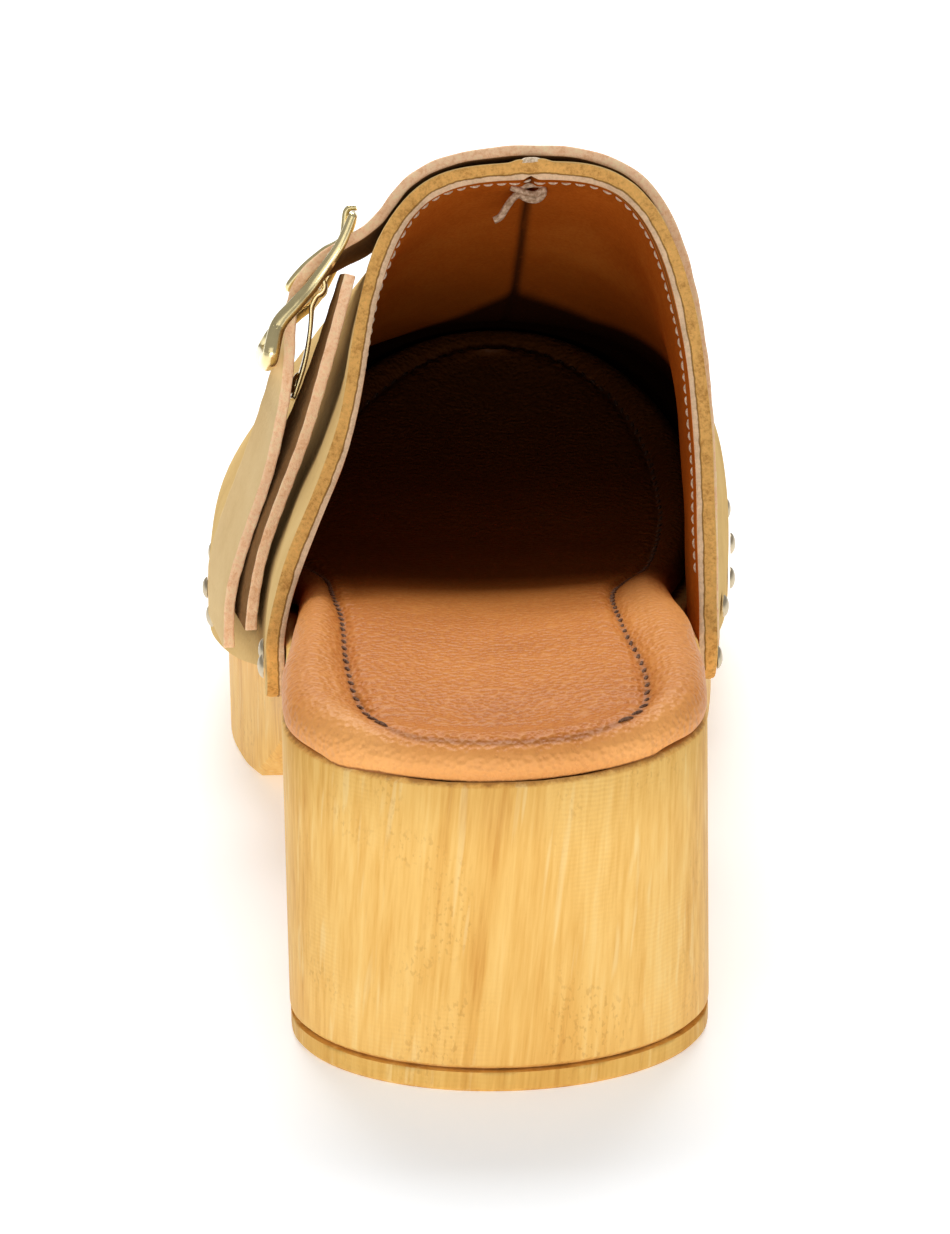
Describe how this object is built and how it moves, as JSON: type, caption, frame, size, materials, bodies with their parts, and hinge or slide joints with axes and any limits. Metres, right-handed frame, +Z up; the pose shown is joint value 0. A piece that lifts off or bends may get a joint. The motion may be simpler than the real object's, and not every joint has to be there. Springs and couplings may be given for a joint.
{
  "type": "clog mule",
  "caption": "Backless clog mule for the left foot: wooden sole with a block heel, nailed leather upper open at the back, padded insole, and an instep strap with a metal buckle.",
  "frame": {"origin": "bottom centre of the shoe's box, on the floor it stands on", "axes": "+Y toward the toe, +X toward the medial side, +Z up"},
  "size_m": [0.094, 0.2554, 0.1129],
  "materials": {
    "sole_wood": "satin varnished honey wood",
    "lift_wood": "burnished wood",
    "sock_leather": "soft pebbled tan leather",
    "vamp_leather": "smooth tan leather with raw edges",
    "strap_leather": "natural tan leather with raw edges",
    "gold_metal": "polished pale gold",
    "nail_metal": "pale gold nail heads"
  },
  "bodies": {
    "root": {"sole_wood": "sole_wood", "heel_lift": "lift_wood", "insole": "sock_leather", "upper": "vamp_leather", "strap": "strap_leather", "chape_strip": "strap_leather", "buckle_frame": "gold_metal", "hook_plate": "gold_metal", "nail_01": "nail_metal", "nail_02": "nail_metal", "nail_03": "nail_metal", "nail_04": "nail_metal", "nail_05": "nail_metal", "nail_06": "nail_metal", "nail_07": "nail_metal", "nail_08": "nail_metal", "nail_09": "nail_metal", "nail_10": "nail_metal", "nail_11": "nail_metal", "nail_12": "nail_metal", "nail_13": "nail_metal", "nail_14": "nail_metal", "nail_15": "nail_metal", "nail_16": "nail_metal", "nail_17": "nail_metal", "nail_18": "nail_metal", "nail_19": "nail_metal", "nail_20": "nail_metal", "nail_21": "nail_metal"}
  },
  "joints": []
}
